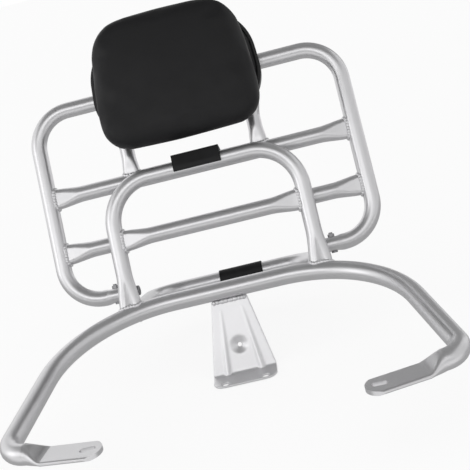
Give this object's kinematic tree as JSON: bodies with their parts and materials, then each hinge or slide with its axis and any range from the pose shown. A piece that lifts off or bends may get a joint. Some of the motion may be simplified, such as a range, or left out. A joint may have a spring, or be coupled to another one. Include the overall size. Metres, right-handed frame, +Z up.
{
  "type": "folding scooter rear rack with backrest",
  "caption": "Tubular scooter rear rack: a bow with slotted tabs and a pressed foot carries a hoop, and a luggage frame with a padded backrest folds down on pivot pins.",
  "frame": {"origin": "midway between the two foot holes, on the underside of the foot flange", "axes": "+X to the rider's right, +Y to the rear of the scooter, +Z up out of the mounting faces"},
  "size_m": [0.4049, 0.3728, 0.361],
  "materials": {
    "satin_silver": "satin silver paint",
    "pressed_silver": "satin silver paint on pressed sheet",
    "steel": "zinc plated",
    "dark_steel": "black oxide",
    "rubber": "matt",
    "black_plastic": "moulded grain",
    "black_leatherette": "smooth, fine grain"
  },
  "bodies": {
    "base": {"bow_tube": "satin_silver", "foot_bracket": "pressed_silver", "hoop_tube": "satin_silver", "hoop_crossbar": "satin_silver", "rear_support": "satin_silver", "support_buffer": "rubber", "hoop_buffer": "rubber", "hinge_lug_left": "satin_silver", "hinge_lug_right": "satin_silver"},
    "luggage_frame": {"frame_tube": "satin_silver", "upper_crossbar": "satin_silver", "lower_crossbar": "satin_silver", "post_left": "satin_silver", "post_right": "satin_silver", "pivot_pins": "dark_steel", "pin_sleeve_left": "steel", "pin_sleeve_right": "steel", "cross_bolts": "steel", "cross_nuts": "steel", "backrest_screws": "dark_steel", "backrest_shell": "black_plastic", "backrest_pad": "black_leatherette"}
  },
  "joints": [
    {"name": "rack_fold", "type": "hinge", "parent": "base", "child": "luggage_frame", "pos_m": [0, 0.07691, 0.09228], "axis": [-1, 0, 0], "range_deg": [0, 80]}
  ]
}
